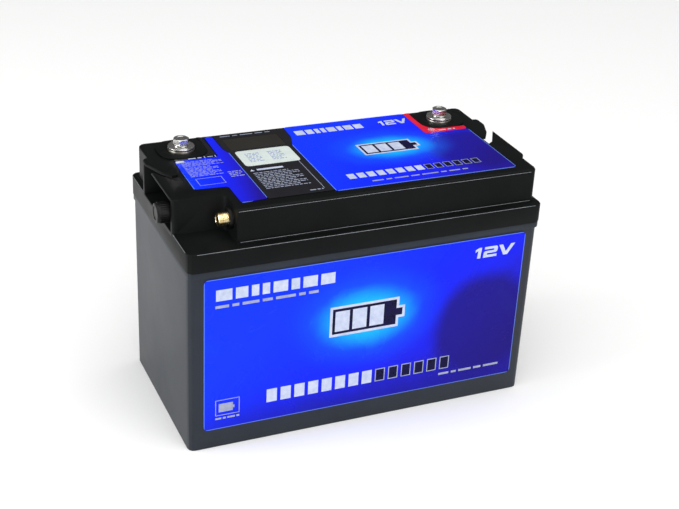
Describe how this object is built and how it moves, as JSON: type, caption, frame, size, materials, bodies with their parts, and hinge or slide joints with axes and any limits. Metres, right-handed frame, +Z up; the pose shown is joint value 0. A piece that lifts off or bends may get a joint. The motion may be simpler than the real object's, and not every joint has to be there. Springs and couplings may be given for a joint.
{
  "type": "deep cycle battery",
  "caption": "Rectangular deep cycle battery with a blue label, screw terminals, hand-hold pockets in the lid's ends, a display window and data ports.",
  "frame": {"origin": "middle of the underside of the case, where the battery stands", "axes": "+Z up, +X along the length towards the positive terminal, -Y out of the labelled side"},
  "size_m": [0.3415, 0.173, 0.2371],
  "materials": {
    "case_plastic": "moulded, satin",
    "lid_plastic": "moulded, fine grain",
    "label_film": "printed film, satin gloss",
    "panel_film": "printed film, satin",
    "red_film": "printed film, satin",
    "sticker_film": "paper-faced film",
    "zinc_steel": "bright zinc",
    "tinned_copper": "tin plated",
    "brass": "turned, bright",
    "nickel_brass": "nickel plated",
    "port_plastic": "moulded",
    "seal_rubber": "matt",
    "smoked_lens": "polished, smoked",
    "display_module": "satin",
    "board_green": "solder mask",
    "cell_film": "wrapped film",
    "copper_bar": "tin plated",
    "pack_aluminium": "mill finish",
    "strap_steel": "rolled",
    "foam_grey": "closed-cell foam",
    "cable_red": "cable jacket",
    "cable_black": "cable jacket",
    "chip_black": "moulded"
  },
  "bodies": {
    "battery": {"case": "case_plastic", "lid": "lid_plastic", "lid_seal": "seal_rubber", "front_label": "label_film", "spec_label": "label_film", "top_label": "label_film", "notice_panel": "panel_film", "positive_mark": "red_film", "negative_mark": "panel_film", "white_sticker": "sticker_film", "display_lens": "smoked_lens", "display_module": "display_module", "display_board": "board_green", "management_board": "board_green", "open_port_shell": "brass", "open_port_insert": "port_plastic", "open_port_flange": "port_plastic", "open_port_nut": "zinc_steel", "capped_port_shell": "nickel_brass", "capped_port_gasket": "seal_rubber", "capped_port_nut": "zinc_steel", "end_plate_left": "pack_aluminium", "end_plate_right": "pack_aluminium", "heat_spreader": "pack_aluminium", "pack_strap_1": "strap_steel", "pack_strap_2": "strap_steel", "base_foam": "foam_grey", "end_foam": "foam_grey", "switch_block": "chip_black", "positive_lead": "cable_red", "negative_lead": "cable_black", "pack_negative_lead": "cable_black", "display_harness": "cable_black", "open_port_harness": "cable_black", "capped_port_harness": "cable_black", "busbar_negative": "copper_bar", "busbar_1": "copper_bar", "busbar_2": "copper_bar", "busbar_3": "copper_bar", "busbar_positive": "copper_bar", "cell_1": "cell_film", "cell_2": "cell_film", "cell_3": "cell_film", "cell_4": "cell_film", "cell_5": "cell_film", "cell_6": "cell_film", "cell_7": "cell_film", "cell_8": "cell_film", "positive_post": "tinned_copper", "positive_collar": "lid_plastic", "positive_flat_washer": "zinc_steel", "negative_post": "tinned_copper", "negative_collar": "lid_plastic", "negative_flat_washer": "zinc_steel"},
    "positive_screw_travel": {"positive_lock_washer": "zinc_steel"},
    "positive_bolt": {"positive_bolt": "zinc_steel"},
    "negative_screw_travel": {"negative_lock_washer": "zinc_steel"},
    "negative_bolt": {"negative_bolt": "zinc_steel"},
    "cap_travel": {"cap_seal": "seal_rubber"},
    "dust_cap": {"dust_cap": "port_plastic"}
  },
  "joints": [
    {"name": "positive_bolt_travel", "type": "slide", "parent": "battery", "child": "positive_screw_travel", "axis": [0, 0, 1], "range_m": [0, 0.0122]},
    {"name": "positive_bolt_turn", "type": "hinge", "parent": "positive_screw_travel", "child": "positive_bolt", "pos_m": [0.1275, 0.053, 0.2318], "axis": [0, 0, 1], "range_deg": [0, 3456]},
    {"name": "negative_bolt_travel", "type": "slide", "parent": "battery", "child": "negative_screw_travel", "axis": [0, 0, 1], "range_m": [0, 0.0122]},
    {"name": "negative_bolt_turn", "type": "hinge", "parent": "negative_screw_travel", "child": "negative_bolt", "pos_m": [-0.1275, 0.053, 0.2318], "axis": [0, 0, 1], "range_deg": [0, 3456]},
    {"name": "cap_travel", "type": "slide", "parent": "battery", "child": "cap_travel", "axis": [-1, 0, 0], "range_m": [0, 0.0062]},
    {"name": "cap_turn", "type": "hinge", "parent": "cap_travel", "child": "dust_cap", "pos_m": [-0.167, -0.0312, 0.209], "axis": [-1, 0, 0], "range_deg": [0, 2160]}
  ],
  "couplings": [
    {"joint": "positive_bolt_travel", "follows": "positive_bolt_turn", "m_per_rad": 0.00019894},
    {"joint": "negative_bolt_travel", "follows": "negative_bolt_turn", "m_per_rad": 0.00019894},
    {"joint": "cap_travel", "follows": "cap_turn", "m_per_rad": 0.00015915}
  ]
}
